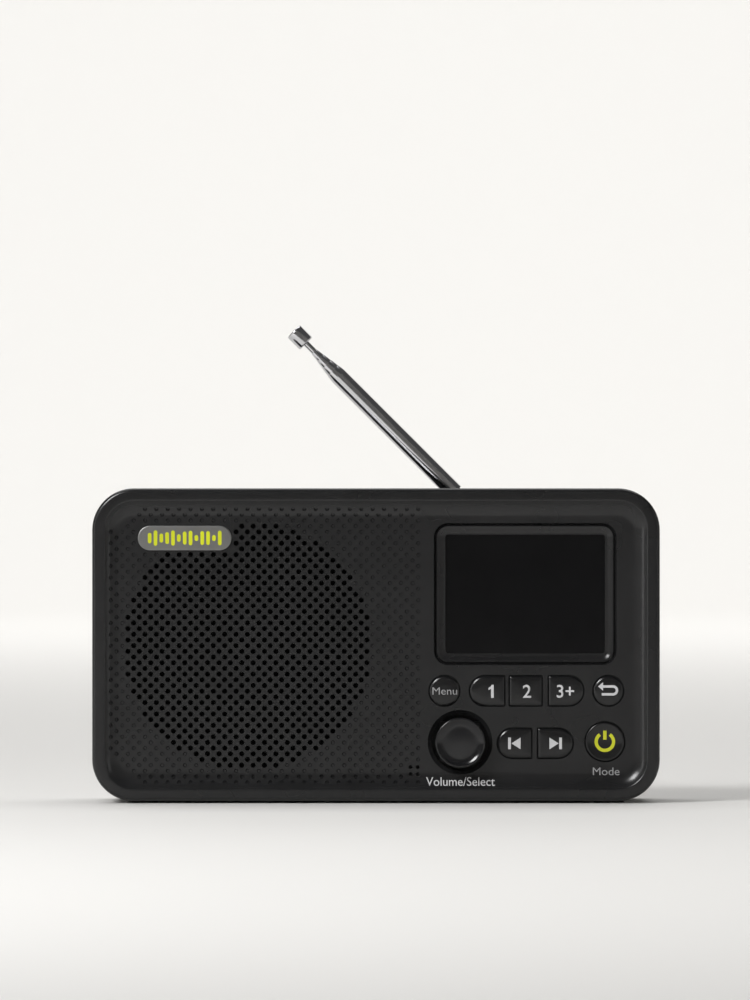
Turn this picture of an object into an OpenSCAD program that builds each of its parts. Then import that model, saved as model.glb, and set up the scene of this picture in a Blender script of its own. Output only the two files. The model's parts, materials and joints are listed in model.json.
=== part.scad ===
// Tabletop radio: a shallow two-part case with a dished front, a perforated speaker grille,
// a colour display, eight keys, a push-and-turn knob and a telescopic antenna.
// X runs to the right seen from the front, the front faces -Y, Z is up.
// The origin is the centre of the overall footprint, on the table.

/* [Case] */
// Width of the case
case_w = 170; // [168:0.5:176]
// Height of the case above its feet
case_h = 93.7; // [93:0.1:96]
// Depth of the case
case_d = 42; // [42:0.5:46]
// Radius of the case corners seen from the front
corner_r = 12.5; // [11.5:0.5:13.5]
// Thickness of the case walls
wall = 2.2; // [2:0.1:2.4]
// Radius of the front outer edge
front_edge = 2.4; // [1.5:0.1:2.6]
// Radius of the rear outer edge
rear_edge = 4.5; // [3:0.5:5]
// Length of the case in front of the joint line
front_len = 18; // [17:0.5:19]
// Height that the feet stand proud
foot_h = 0.6; // [0.4:0.1:1]

/* [Dished front] */
// Width of the rim around the dish
rim_w = 3.7; // [3.2:0.1:4.2]
// Depth of the dish
dish_depth = 2.2; // [1.8:0.1:2.4]
// Width of the curved wall of the dish
cove_w = 4.8; // [4:0.1:5.4]
// Thickness of the front panel
panel_t = 2.4; // [2.2:0.1:2.6]

/* [Speaker] */
// Speaker centre from the middle of the case
speaker_x = -38.5; // [-39:0.1:-38]
// Speaker centre above the table
speaker_z = 47.15; // [46.5:0.05:47.8]
// Radius of the perforated circle
perforated_r = 37.8; // [36:0.1:38]
// Spacing of the grille holes across and up
hole_step = 1.705; // [1.7:0.005:1.9]
// Diameter of a grille hole
hole_d = 1.4; // [1.2:0.05:1.5]

/* [Display] */
// Display centre from the middle of the case
display_x = 44.7; // [44.5:0.1:45]
// Display centre above the table
display_z = 62.6; // [62.4:0.1:62.8]
// Width of the visible lens
lens_w = 47.8; // [47:0.1:48.2]
// Height of the visible lens
lens_h = 35.6; // [35:0.1:36]
// Width of the sloped bezel around the lens
bezel_w = 3.5; // [3:0.1:3.6]
// Depth of the sloped bezel
bezel_depth = 1.3; // [1:0.1:1.4]

/* [Controls] */
// Height of the upper key row above the table
upper_row_z = 33.6; // [33.4:0.1:33.8]
// Height of the lower key row above the table
lower_row_z = 17.9; // [17.7:0.1:18.1]
// Height of the keys that have flat sides
key_h = 9.5; // [9:0.1:9.6]
// Gap around each key
key_gap = 0.3; // [0.25:0.05:0.35]
// Height that the keys stand proud of the panel
key_proud = 0.6; // [0.4:0.1:0.8]
// Travel of each key
key_travel = 0.6; // [0.4:0.1:0.6]
// Diameter of the knob
knob_d = 15; // [14.5:0.1:15.2]
// Height that the knob stands proud of the rim
knob_proud = 3; // [2:0.5:3]
// Diameter of the chamfer around the knob
knob_ring_d = 19.4; // [19:0.1:19.6]

/* [Antenna] */
// Lean of the antenna from horizontal at rest
antenna_lean = 45; // [45:1:60]
// Diameter of the outer antenna tube
antenna_d = 5.3; // [5:0.1:5.4]
// Length from the tilt pin to the tip, pushed in
antenna_len = 72; // [70:0.5:73]
// Number of antenna sections
antenna_sections = 5; // [5:1:5]

/* [Hidden] */
$fn = 64;
eps = 0.01;

// Planes across the depth
y_rim = -case_d / 2 + knob_proud / 2;
y_back = y_rim + case_d;
y_floor = y_rim + dish_depth;
y_panel = y_floor + panel_t;
y_seam = y_rim + front_len;
z_mid = foot_h + case_h / 2;
z_top = foot_h + case_h;

// Plain edge of the grille disc around its holes
grille_margin = 0.5;

// Antenna: tilt pin, groove in the top rear edge, and swivel base
pin_drop = 3.1;
pin_y = 16.2;
pin_x = 25.9;
pin_z = z_top - pin_drop;
groove_y = 9;
groove_x0 = -51;
groove_x1 = 33.7;
groove_z = pin_z - antenna_d / 2 - 0.75;
swivel_pocket_z = groove_z - 0.8;
groove_under_z = swivel_pocket_z - 1.6;
tube_wall = 0.35;
tube_fit = 0.075;
tube_step = 2 * (tube_wall + tube_fit);
tube_start = 4.4;
tip_len = 5.4;
tube_end_first = 55;
tube_end_step = 2.7;

// Battery bay in the rear cover
cell_r = 9.2;
cell_len = 65;
cell_x = 37;
cell_y = 11.2;
cell_z = 19;
bay_w = cell_len + 4;
bay_h = 2 * cell_r + 1;
bay_wall = 1.4;
bay_y = cell_y - cell_r - 0.3;
door_t = 1.8;
door_ledge = 1.1;
door_gap = 0.3;

// Screw posts
post_x = case_w / 2 - 8;
post_z = case_h / 2 - 8;
post_y = 8;
screw_seat_y = 14.5;

// Boards, from front to back
key_board_y = y_panel + 6.3;
board_t = 1.6;
main_board_y = key_board_y + board_t + 0.5;
main_board_x0 = 4;
main_board_x1 = 81.3;
main_board_z0 = 36.5;
main_board_z1 = 86.5;
port_board_z = 40;
jack_x = 58;
jack_z = port_board_z + board_t + 3.2;
jack_bore_r = 1.8;
jack_bore_len = 14;
usb_x = 71;
usb_z = port_board_z + board_t + 1.65;
board_posts = [[9, 46], [9, 84], [78.3, 46], [78.3, 72]];
key_posts = [[14, 24.5], [38, 25.7], [60.5, 25.7], [47.65, 9.8]];

// Keys: name, left x, right x, height, centre z, round left, round right
KEYS = [
  ["menu_key", 15.7, 25.3, 9.6, upper_row_z, true, true],
  ["preset_key_1", 27.8, 38.8, key_h, upper_row_z, true, false],
  ["preset_key_2", 39.7, 50, key_h, upper_row_z, false, false],
  ["preset_key_3", 51.4, 62.5, key_h, upper_row_z, false, true],
  ["back_key", 64.8, 74.4, 9.6, upper_row_z, true, true],
  ["previous_key", 36.1, 46.9, key_h, lower_row_z, true, false],
  ["next_key", 48.2, 59.3, key_h, lower_row_z, false, true],
  ["power_key", 62.4, 74.7, 12.3, 18.4, true, true]
];
knob_x = 25.2;
knob_z = 18.2;
y_key = y_floor - key_proud;
mic_x = 11.45;
mic_z = 9.75;
badge_x = -57.3;
badge_z = 79.4;
badge_w = 28.1;
badge_h = 7.4;
badge_t = 0.5;
feet = [[-70, -9.5], [70, -9.5], [-70, 11], [70, 11]];

// ---- helpers ----

// Extrudes an outline drawn in X and Z from y0 to y1
module along_y(y0, y1)
  translate([0, y1, 0]) rotate([90, 0, 0]) linear_extrude(y1 - y0) children();

// Cylinder along Y from y0 to y1 at x, z
module rod_y(x, z, r, y0, y1)
  translate([x, y1, z]) rotate([90, 0, 0]) cylinder(r = r, h = y1 - y0);

// Solid of revolution about a line along Y; the section is drawn as radius and depth
module revolve_y(x, z)
  translate([x, 0, z]) rotate([-90, 0, 0]) rotate_extrude() children();

// Box from two corners
module block(a, b)
  translate(a) cube(b - a);

// Rectangle with round corners, centred
module rounded_rect(w, h, r) {
  square([w - 2 * r, h], center = true);
  square([w, h - 2 * r], center = true);
  for (sx = [-1, 1], sz = [-1, 1])
    translate([sx * (w / 2 - r), sz * (h / 2 - r)]) circle(r);
}

// Carries a section, drawn from the middle out to $half, around a rounded rectangle
module swept_box(w, h, r) {
  for (sx = [-1, 1], sz = [-1, 1])
    translate([sx * (w / 2 - r), 0, sz * (h / 2 - r)])
      rotate([-90, 0, 0]) rotate_extrude() let ($half = r) children();
  for (side = [0, 1])
    mirror([side, 0, 0])
      linear_extrude(h - 2 * r, center = true) let ($half = w / 2) children();
  for (side = [0, 1])
    mirror([0, 0, side]) rotate([0, -90, 0])
      linear_extrude(w - 2 * r, center = true) let ($half = h / 2) children();
}

// Outline of a key opening or cap; the ends are half circles where round is true
module key_outline(key, inset) {
  h = key[3] - 2 * inset;
  x0 = key[1] + inset;
  x1 = key[2] - inset;
  r = h / 2;
  left = x0 + (key[5] ? r : 0);
  right = x1 - (key[6] ? r : 0);
  if (right - left > 0.1) translate([left, key[4] - r]) square([right - left, h]);
  if (key[5]) translate([left, key[4]]) circle(r);
  if (key[6] && right - left > 0.1) translate([right, key[4]]) circle(r);
}

// Pan-head screw along Y: its seat is at y, its thread runs towards -Y
module screw(x, z, y, head_r, head_h, r, len) {
  rod_y(x, z, head_r, y, y + head_h);
  rod_y(x, z, r, y - len, y + eps);
}

// Tube of eight sides along a list of points; it is nowhere parallel to the direction side
function unit(v) = v / norm(v);
function heading(p, i) = unit(p[min(i + 1, len(p) - 1)] - p[max(i - 1, 0)]);
module wire(p, d, side) {
  sides = 8;
  rings = [for (i = [0 : len(p) - 1], k = [0 : sides - 1])
    let (t = heading(p, i), a = unit(cross(t, side)), b = cross(t, a), turn = 360 * k / sides)
    p[i] + d / 2 * (a * cos(turn) + b * sin(turn))];
  walls = [for (i = [0 : len(p) - 2], k = [0 : sides - 1])
    let (n = (k + 1) % sides) each [
      [i * sides + k, i * sides + n, (i + 1) * sides + n],
      [i * sides + k, (i + 1) * sides + n, (i + 1) * sides + k]]];
  first = [for (k = [sides - 1 : -1 : 0]) k];
  last = [for (k = [0 : sides - 1]) (len(p) - 1) * sides + k];
  polyhedron(rings, concat(walls, [first, last]));
}

// ---- case ----

// Section of the front half: rounded front edge and a small step at the joint line
module front_section() {
  step = 0.3;
  translate([0, y_rim + front_edge]) square([$half, front_len - front_edge - step]);
  translate([0, y_rim]) square([$half - front_edge, front_len]);
  translate([0, y_seam - 1]) square([$half - step, 1]);
  translate([$half - front_edge, y_rim + front_edge]) circle(front_edge);
}

// Section of the rear half
module rear_section() {
  step = 0.3;
  translate([0, y_seam + step]) square([$half, y_back - y_seam - step - rear_edge]);
  translate([0, y_seam]) square([$half - rear_edge, y_back - y_seam]);
  translate([0, y_seam]) square([$half - step, 1]);
  translate([$half - rear_edge, y_back - rear_edge]) circle(rear_edge);
}

// Section removed to leave the dish: flat floor and a curved wall up to the rim
module dish_section() {
  cove_r = (cove_w * cove_w + dish_depth * dish_depth) / (2 * dish_depth);
  flat = $half - cove_w;
  translate([0, y_rim - 1]) square([$half, 1]);
  translate([0, y_rim - 1]) square([flat, dish_depth + 1]);
  intersection() {
    translate([flat, y_floor - cove_r]) circle(cove_r);
    translate([flat - 1, y_rim - eps]) square([cove_w + 1, dish_depth + 1]);
  }
}

// Section removed to leave the sloped bezel of the display
module bezel_section()
  polygon([
    [0, y_floor - 1], [$half, y_floor - 1], [$half, y_floor],
    [$half - bezel_w, y_floor + bezel_depth], [0, y_floor + bezel_depth]
  ]);

module foot_pockets()
  for (f = feet) translate([f[0], f[1], foot_h - 1]) cylinder(r = 4.7, h = 1.8);

module mic_holes()
  for (dx = [-1.05, 1.05], dz = [-1.05, 1.05])
    rod_y(mic_x + dx, mic_z + dz, 0.5, y_floor - 1, y_panel + 1);

module front_cover() color([0.17, 0.17, 0.175]) {
  inner_r = corner_r - wall;
  difference() {
    translate([0, 0, z_mid]) swept_box(case_w, case_h, corner_r) front_section();
    translate([0, 0, z_mid])
      swept_box(case_w - 2 * rim_w, case_h - 2 * rim_w, corner_r - rim_w) dish_section();
    translate([0, 0, z_mid]) along_y(y_panel, y_seam + 1)
      rounded_rect(case_w - 2 * wall, case_h - 2 * wall, inner_r);
    // Round opening that the grille fills
    rod_y(speaker_x, speaker_z, perforated_r + grille_margin, y_floor - 1, y_panel + 1);
    // Display window: sloped bezel, clear opening, and the seat of the lens
    translate([display_x, 0, display_z])
      swept_box(lens_w + 2 * bezel_w, lens_h + 2 * bezel_w, bezel_w + 0.8) bezel_section();
    translate([display_x, 0, display_z]) along_y(y_floor, y_panel + 1)
      rounded_rect(lens_w, lens_h, 0.8);
    translate([display_x, 0, display_z]) along_y(y_floor + bezel_depth + 0.5, y_panel + 1)
      rounded_rect(lens_w + 4.6, lens_h + 4.6, 2);
    // Key openings
    for (key = KEYS) along_y(y_floor - 1, y_panel + 1) key_outline(key, 0);
    // Knob opening with its chamfer
    rod_y(knob_x, knob_z, knob_ring_d / 2 - 1.2, y_floor - 1, y_panel + 1);
    revolve_y(knob_x, knob_z)
      polygon([
        [0, y_floor - 1], [knob_ring_d / 2, y_floor - 1], [knob_ring_d / 2, y_floor],
        [knob_ring_d / 2 - 1.2, y_floor + 0.9], [0, y_floor + 0.9]
      ]);
    mic_holes();
    foot_pockets();
    for (a = [45 : 90 : 315])
      rod_y(speaker_x + 40 * cos(a), speaker_z + 40 * sin(a), 1.25, y_floor + 1, y_panel + 3);
  }
  // Screw posts, board posts and speaker posts
  for (sx = [-1, 1], sz = [-1, 1])
    difference() {
      rod_y(sx * post_x, z_mid + sz * post_z, 3.4, y_panel - eps, post_y);
      rod_y(sx * post_x, z_mid + sz * post_z, 1.3, -6, post_y + 1);
    }
  for (p = board_posts)
    difference() {
      rod_y(p[0], p[1], 2.8, y_panel - eps, main_board_y);
      rod_y(p[0], p[1], 1.1, main_board_y - 6, main_board_y + 1);
    }
  for (p = key_posts)
    difference() {
      rod_y(p[0], p[1], 2.3, y_panel - eps, key_board_y);
      rod_y(p[0], p[1], 0.9, key_board_y - 5, key_board_y + 1);
    }
}

// True where a grille hole would be covered by the badge
function under_badge(x, z) =
  abs(x - badge_x) < badge_w / 2 + hole_d / 2 + 0.2 && abs(z - badge_z) < badge_h / 2 + hole_d / 2 + 0.2;

module speaker_grille() color([0.16, 0.16, 0.165]) {
  rows = floor(perforated_r / hole_step);
  difference() {
    rod_y(speaker_x, speaker_z, perforated_r + grille_margin, y_floor, y_panel);
    along_y(y_floor - 1, y_panel + 1)
      for (row = [-rows : rows], col = [-rows : rows]) {
        x = speaker_x + col * hole_step;
        z = speaker_z + row * hole_step;
        inside = norm([x - speaker_x, z - speaker_z]) < perforated_r - hole_d / 2;
        if ((row + col) % 2 == 0 && inside && !under_badge(x, z))
          translate([x, z]) circle(d = hole_d);
      }
  }
}

module grille_cloth() color([0.05, 0.05, 0.05])
  rod_y(speaker_x, speaker_z, 38.6, y_panel, y_panel + 0.2);

module badge() color([0.48, 0.48, 0.47])
  translate([badge_x, 0, badge_z]) along_y(y_floor - badge_t, y_floor)
    rounded_rect(badge_w, badge_h, badge_h / 2 - eps);

module rear_cover() color([0.15, 0.15, 0.155]) {
  inner_r = corner_r - wall;
  lip = 1.2;
  lip_gap = 0.1;
  liner_root = 0.4;
  difference() {
    union() {
      difference() {
        translate([0, 0, z_mid]) swept_box(case_w, case_h, corner_r) rear_section();
        translate([0, 0, z_mid]) along_y(y_seam - 1, y_back - wall)
          rounded_rect(case_w - 2 * wall, case_h - 2 * wall, inner_r);
      }
      // Liner of the antenna groove, rooted in the outer skin
      block([groove_x0 - wall, groove_y - wall, groove_under_z],
            [groove_x1 + wall, y_back - wall + liner_root, z_top - wall + liner_root]);
      block([groove_x0 - wall, groove_y - wall, groove_under_z],
            [groove_x1 + wall, y_back - eps, groove_z]);
      // Walls of the battery bay
      block([cell_x - bay_w / 2 - bay_wall, bay_y - bay_wall, cell_z - bay_h / 2 - bay_wall],
            [cell_x + bay_w / 2 + bay_wall, y_back - 1, cell_z + bay_h / 2 + bay_wall]);
      // Screw posts
      for (sx = [-1, 1], sz = [-1, 1])
        rod_y(sx * post_x, z_mid + sz * post_z, 4.2, post_y + 0.2, y_back - 1);
      // Locating lip inside the front cover
      difference() {
        translate([0, 0, z_mid]) {
          along_y(y_seam - 2, y_seam + eps)
            rounded_rect(case_w - 2 * (wall + lip_gap), case_h - 2 * (wall + lip_gap), inner_r - lip_gap);
          along_y(y_seam, y_seam + 2)
            rounded_rect(case_w - wall, case_h - wall, corner_r - wall / 2);
        }
        translate([0, 0, z_mid]) along_y(y_seam - 3, y_seam + 3)
          rounded_rect(case_w - 2 * (wall + lip), case_h - 2 * (wall + lip), inner_r - lip);
        for (sx = [-1, 1], sz = [-1, 1])
          rod_y(sx * post_x, z_mid + sz * post_z, 3.8, y_seam - 3, y_seam + 3);
      }
    }
    // Antenna groove, open at the top and at the back
    block([groove_x0, groove_y, groove_z], [groove_x1, y_back + 1, z_top + 1]);
    translate([pin_x, pin_y, swivel_pocket_z]) cylinder(r = 4.3, h = 2);
    translate([pin_x, pin_y, groove_under_z - 1]) cylinder(r = 2.05, h = 4);
    // Battery bay and the seat of its door
    block([cell_x - bay_w / 2, bay_y, cell_z - bay_h / 2],
          [cell_x + bay_w / 2, y_back + 1, cell_z + bay_h / 2]);
    translate([cell_x, 0, cell_z]) along_y(y_back - door_t, y_back + 1)
      rounded_rect(bay_w + 2 * door_ledge, bay_h + 2 * door_ledge, 1.5);
    // Screw holes and head recesses
    for (sx = [-1, 1], sz = [-1, 1]) {
      rod_y(sx * post_x, z_mid + sz * post_z, 1.6, post_y - 1, screw_seat_y + 1);
      rod_y(sx * post_x, z_mid + sz * post_z, 3.2, screw_seat_y, y_back + 1);
    }
    // Socket openings
    rod_y(jack_x, jack_z, 3.2, y_back - wall - 1, y_back + 1);
    translate([usb_x, 0, usb_z]) along_y(y_back - wall - 1, y_back + 1)
      rounded_rect(9.6, 3.8, 1.8);
    // Sound vents behind the speaker
    for (k = [-3 : 3])
      translate([speaker_x + 6 * k, 0, speaker_z]) along_y(y_back - wall - 1, y_back + 1)
        rounded_rect(1.8, 30, 0.85);
    foot_pockets();
  }
}

module case_screws() color([0.55, 0.55, 0.57])
  for (sx = [-1, 1], sz = [-1, 1])
    difference() {
      screw(sx * post_x, z_mid + sz * post_z, screw_seat_y, 2.8, 2, 1.25, 18);
      for (turn = [0, 90])
        translate([sx * post_x, screw_seat_y + 2, z_mid + sz * post_z]) rotate([0, turn, 0])
          cube([3.2, 2.4, 0.7], center = true);
    }

module rubber_feet() color([0.08, 0.08, 0.08])
  for (f = feet) translate([f[0], f[1], 0]) cylinder(r = 4.5, h = foot_h + 0.8);

// ---- display ----

module display_lens() color([0.03, 0.03, 0.035])
  translate([display_x, 0, display_z])
    along_y(y_floor + bezel_depth + 0.5, y_floor + bezel_depth + 1.5)
      rounded_rect(lens_w + 4.2, lens_h + 4.2, 1.8);

lcd_y = y_floor + bezel_depth + 1.7;
lcd_w = 58.4;
lcd_h = 41.4;
lcd_t = 2.6;

module lcd_module() color([0.55, 0.56, 0.58])
  block([display_x - lcd_w / 2, lcd_y + 0.9, display_z - lcd_h / 2],
        [display_x + lcd_w / 2, lcd_y + 0.9 + lcd_t, display_z + lcd_h / 2]);

module lcd_bracket() color([0.3, 0.3, 0.3])
  difference() {
    translate([display_x, 0, display_z]) along_y(lcd_y + 0.9 + lcd_t, lcd_y + 2.1 + lcd_t)
      difference() {
        square([lcd_w + 4, lcd_h + 3], center = true);
        square([lcd_w - 8, lcd_h - 8], center = true);
      }
    rod_y(post_x, z_mid + post_z, 3.8, y_panel, post_y);
    for (p = board_posts) rod_y(p[0], p[1], 3.1, y_panel, post_y);
  }

module lcd_flex() color([0.75, 0.5, 0.2]) {
  flex_y = lcd_y + 0.9 + lcd_t;
  block([display_x - 7, flex_y, display_z - 14], [display_x + 7, flex_y + 0.2, display_z - 2]);
  block([display_x - 7, flex_y, display_z - 2.2], [display_x + 7, main_board_y, display_z - 2]);
}

// ---- controls ----

module key_cap(key) color([0.13, 0.13, 0.135]) {
  cx = (key[1] + key[2]) / 2;
  flange_y = y_panel + 0.1;
  along_y(y_key + 0.35, flange_y + eps) key_outline(key, key_gap);
  along_y(y_key, y_key + 0.35 + eps) key_outline(key, key_gap + 0.45);
  along_y(flange_y, flange_y + 0.8) key_outline(key, key_gap - 0.5);
  rod_y(cx, key[4], 1.6, flange_y + 0.8 - eps, key_board_y - 2.8);
}

module menu_key() key_cap(KEYS[0]);
module preset_key_1() key_cap(KEYS[1]);
module preset_key_2() key_cap(KEYS[2]);
module preset_key_3() key_cap(KEYS[3]);
module back_key() key_cap(KEYS[4]);
module previous_key() key_cap(KEYS[5]);
module next_key() key_cap(KEYS[6]);
module power_key() key_cap(KEYS[7]);

shaft_r = 3;
plunger_y = key_board_y - 2.6;
knob_back = y_panel - 0.5;
bushing_y = knob_back - 0.6;

module shaft_outline()
  difference() {
    circle(shaft_r);
    translate([-shaft_r, shaft_r - 1]) square([2 * shaft_r, 2]);
  }

module volume_knob() color([0.09, 0.09, 0.095]) {
  y_front = y_rim - knob_proud;
  face_rim = 1;
  face_recess = 0.45;
  difference() {
    revolve_y(knob_x, knob_z) {
      translate([0, y_front + 0.6]) square([knob_d / 2, knob_back - y_front - 0.6]);
      translate([0, y_front]) square([knob_d / 2 - 0.6, 1]);
      translate([knob_d / 2 - 0.6, y_front + 0.6]) circle(0.6);
    }
    rod_y(knob_x, knob_z, knob_d / 2 - face_rim, y_front - 1, y_front + face_recess);
    translate([knob_x, 0, knob_z]) along_y(y_front + 2.5, knob_back + 1) shaft_outline();
    rod_y(knob_x, knob_z, 4.6, bushing_y - 1.2, knob_back + 1);
  }
}

module encoder_shaft() color([0.7, 0.7, 0.72]) {
  translate([knob_x, 0, knob_z]) along_y(y_rim - knob_proud + 2.5, bushing_y - 1)
    shaft_outline();
  rod_y(knob_x, knob_z, shaft_r, bushing_y - 1.01, plunger_y);
}

module encoder_plunger() color([0.8, 0.8, 0.75])
  rod_y(knob_x, knob_z, 3.8, plunger_y, plunger_y + 1);

module encoder_body() color([0.25, 0.35, 0.28])
  difference() {
    union() {
      block([knob_x - 6, key_board_y - 4.3, knob_z - 6], [knob_x + 6, key_board_y, knob_z + 6]);
      rod_y(knob_x, knob_z, 3.9, bushing_y, key_board_y - 4.2);
    }
    rod_y(knob_x, knob_z, shaft_r + 0.05, bushing_y - 1, key_board_y - 3);
    rod_y(knob_x, knob_z, 4.2, key_board_y - 3.2, key_board_y - 0.6);
  }

module encoder_nut() color([0.75, 0.75, 0.77])
  difference() {
    rod_y(knob_x, knob_z, 5.4, key_board_y - 5, key_board_y - 4.3);
    rod_y(knob_x, knob_z, 3.9, key_board_y - 6, key_board_y - 4);
  }

module key_board() color([0.1, 0.3, 0.17])
  difference() {
    block([9, key_board_y, 7], [80.5, key_board_y + board_t, 39.8]);
    rod_y(post_x, z_mid - post_z, 4, y_panel, post_y);
    for (p = key_posts) rod_y(p[0], p[1], 1.1, y_panel, post_y);
  }

module tact_switches() color([0.2, 0.2, 0.2])
  for (key = KEYS) {
    x = (key[1] + key[2]) / 2;
    block([x - 2.6, key_board_y - 1.5, key[4] - 2.6], [x + 2.6, key_board_y, key[4] + 2.6]);
    rod_y(x, key[4], 1.1, key_board_y - 2.1, key_board_y - 1.4);
  }

module key_board_screws() color([0.6, 0.6, 0.62])
  for (p = key_posts)
    screw(p[0], p[1], key_board_y + board_t, 1.8, 0.4, 0.85, 4.5);

module microphone() color([0.7, 0.7, 0.7])
  rod_y(mic_x, mic_z, 3, y_panel, y_panel + 2.4);

// ---- electronics ----

module main_board() color([0.08, 0.28, 0.16])
  difference() {
    block([main_board_x0, main_board_y, main_board_z0],
          [main_board_x1, main_board_y + board_t, main_board_z1]);
    rod_y(post_x, z_mid + post_z, 4, y_panel, post_y);
    for (p = board_posts) rod_y(p[0], p[1], 1.4, y_panel, post_y);
  }

main_back_y = main_board_y + board_t;

module tuner_shield() color([0.72, 0.73, 0.74])
  block([14, main_back_y, 62], [38, main_back_y + 3.2, 84]);

module main_chips() color([0.06, 0.06, 0.06]) {
  block([46, main_back_y, 66], [58, main_back_y + 1.4, 78]);
  block([62, main_back_y, 70], [70, main_back_y + 1.2, 78]);
  block([14, main_back_y, 50], [20, main_back_y + 1.2, 56]);
}

module capacitors() color([0.2, 0.22, 0.3])
  for (k = [0 : 3])
    rod_y(27 + 8 * k, 54, 3, main_back_y, main_back_y + 7);

module board_header() color([0.85, 0.82, 0.75]) {
  block([40, key_board_y + board_t, 37], [60, main_board_y, 39.5]);
  block([6, main_back_y, 40], [13, main_back_y + 5, 43]);
  block([46, main_back_y, 44], [52, main_back_y + 5, 50]);
}

module board_screws() color([0.6, 0.6, 0.62])
  for (p = board_posts)
    screw(p[0], p[1], main_back_y, 2.4, 1.4, 1.05, 6);

module port_board() color([0.08, 0.28, 0.16])
  block([50, main_back_y, port_board_z], [79, y_back - wall - 0.6, port_board_z + board_t]);

module usb_port() color([0.7, 0.71, 0.73])
  translate([usb_x, 0, usb_z]) difference() {
    along_y(y_back - 7.8, y_back - 0.4) rounded_rect(9, 3.3, 1.6);
    along_y(y_back - 7, y_back) rounded_rect(8.3, 2.6, 1.25);
  }

module headphone_jack() color([0.1, 0.1, 0.1])
  difference() {
    union() {
      block([jack_x - 3.5, y_back - 16, port_board_z + board_t],
            [jack_x + 3.5, y_back - wall - 0.4, jack_z + 3.2]);
      rod_y(jack_x, jack_z, 3, y_back - wall - 0.5, y_back - 0.2);
    }
    rod_y(jack_x, jack_z, jack_bore_r, y_back - 0.2 - jack_bore_len, y_back + 1);
  }

// ---- speaker ----

gasket_y = y_panel + 0.2;
flange_y = gasket_y + 0.8;

module speaker_gasket() color([0.12, 0.12, 0.12])
  difference() {
    rod_y(speaker_x, speaker_z, 38.6, gasket_y, flange_y);
    rod_y(speaker_x, speaker_z, 36.6, gasket_y - 1, flange_y + 1);
  }

module speaker_basket() color([0.3, 0.3, 0.31])
  difference() {
    union() {
      revolve_y(speaker_x, speaker_z)
        polygon([
          [35.6, flange_y], [39, flange_y], [39, flange_y + 1.4], [35.8, flange_y + 1.4],
          [24, flange_y + 13], [22, flange_y + 17], [12, flange_y + 17], [12, flange_y + 16],
          [21, flange_y + 16], [23, flange_y + 12.2], [34.6, flange_y + 1]
        ]);
      for (a = [45 : 90 : 315])
        rod_y(speaker_x + 40 * cos(a), speaker_z + 40 * sin(a), 3.8, flange_y, flange_y + 1.4);
    }
    rod_y(speaker_x, speaker_z, 34.5, flange_y - 1, flange_y + 1);
    for (a = [45 : 90 : 315])
      rod_y(speaker_x + 40 * cos(a), speaker_z + 40 * sin(a), 1.5, flange_y - 1, flange_y + 2);
    for (a = [22.5 : 45 : 337.5])
      translate([speaker_x, flange_y + 7.5, speaker_z]) rotate([0, a, 0])
        translate([28, 0, 0]) cube([16, 7, 10], center = true);
  }

module speaker_surround() color([0.07, 0.07, 0.07])
  revolve_y(speaker_x, speaker_z)
    difference() {
      translate([31.6, flange_y]) circle(2.1);
      translate([31.6, flange_y]) circle(1.7);
      translate([28, flange_y - 4]) square([8, 4]);
    }

module speaker_cone() color([0.1, 0.1, 0.1])
  revolve_y(speaker_x, speaker_z)
    polygon([
      [29.5, flange_y], [29.5, flange_y + 0.4], [10, flange_y + 9.4],
      [10, flange_y + 15], [9.6, flange_y + 15], [9.6, flange_y + 9]
    ]);

module speaker_dust_cap() color([0.06, 0.06, 0.06])
  intersection() {
    difference() {
      translate([speaker_x, flange_y + 16, speaker_z]) sphere(12.4);
      translate([speaker_x, flange_y + 16, speaker_z]) sphere(12);
    }
    rod_y(speaker_x, speaker_z, 9.5, flange_y, flange_y + 9);
  }

module speaker_magnet() color([0.2, 0.2, 0.2]) {
  difference() {
    rod_y(speaker_x, speaker_z, 22.5, flange_y + 17, flange_y + 26);
    rod_y(speaker_x, speaker_z, 11, flange_y + 16, flange_y + 24);
  }
  rod_y(speaker_x, speaker_z, 8.6, flange_y + 13, flange_y + 25);
}

module speaker_screws() color([0.6, 0.6, 0.62])
  for (a = [45 : 90 : 315])
    screw(speaker_x + 40 * cos(a), speaker_z + 40 * sin(a), flange_y + 1.4, 2.6, 1.4, 1.2, 3.6);

module speaker_wires() color([0.6, 0.1, 0.1])
  for (dz = [0, 2.6])
    wire([
      [speaker_x + 24, 5, 50 + dz], [-11, 5.4, 48 + dz], [-7, 4.6, 45 + dz], [-2, 2.6, 42 + dz],
      [1.5, 0.6, 40 + dz], [4, -0.8, 39.2 + dz], [5.3, -2, 40.2 + dz / 2]
    ], 1.2, [0, 1, 0]);

// ---- battery ----

module battery_cell() color([0.16, 0.32, 0.5]) {
  translate([cell_x - cell_len / 2, cell_y, cell_z]) rotate([0, 90, 0])
    cylinder(r = cell_r, h = cell_len - 1);
  translate([cell_x + cell_len / 2 - 1.1, cell_y, cell_z]) rotate([0, 90, 0])
    cylinder(r = 3, h = 1.1);
}

module battery_contacts() color([0.78, 0.76, 0.7]) {
  for (side = [-1, 1])
    block([cell_x + side * (bay_w / 2 - 0.2) - 0.2, cell_y - 5, cell_z - 6],
          [cell_x + side * (bay_w / 2 - 0.2) + 0.2, cell_y + 5, cell_z + 6]);
  for (side = [-1, 1])
    translate([cell_x + side * (bay_w / 2 - 1.2), cell_y, cell_z]) rotate([0, 90, 0])
      cylinder(r = 2.5, h = 1.6, center = true);
}

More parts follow.
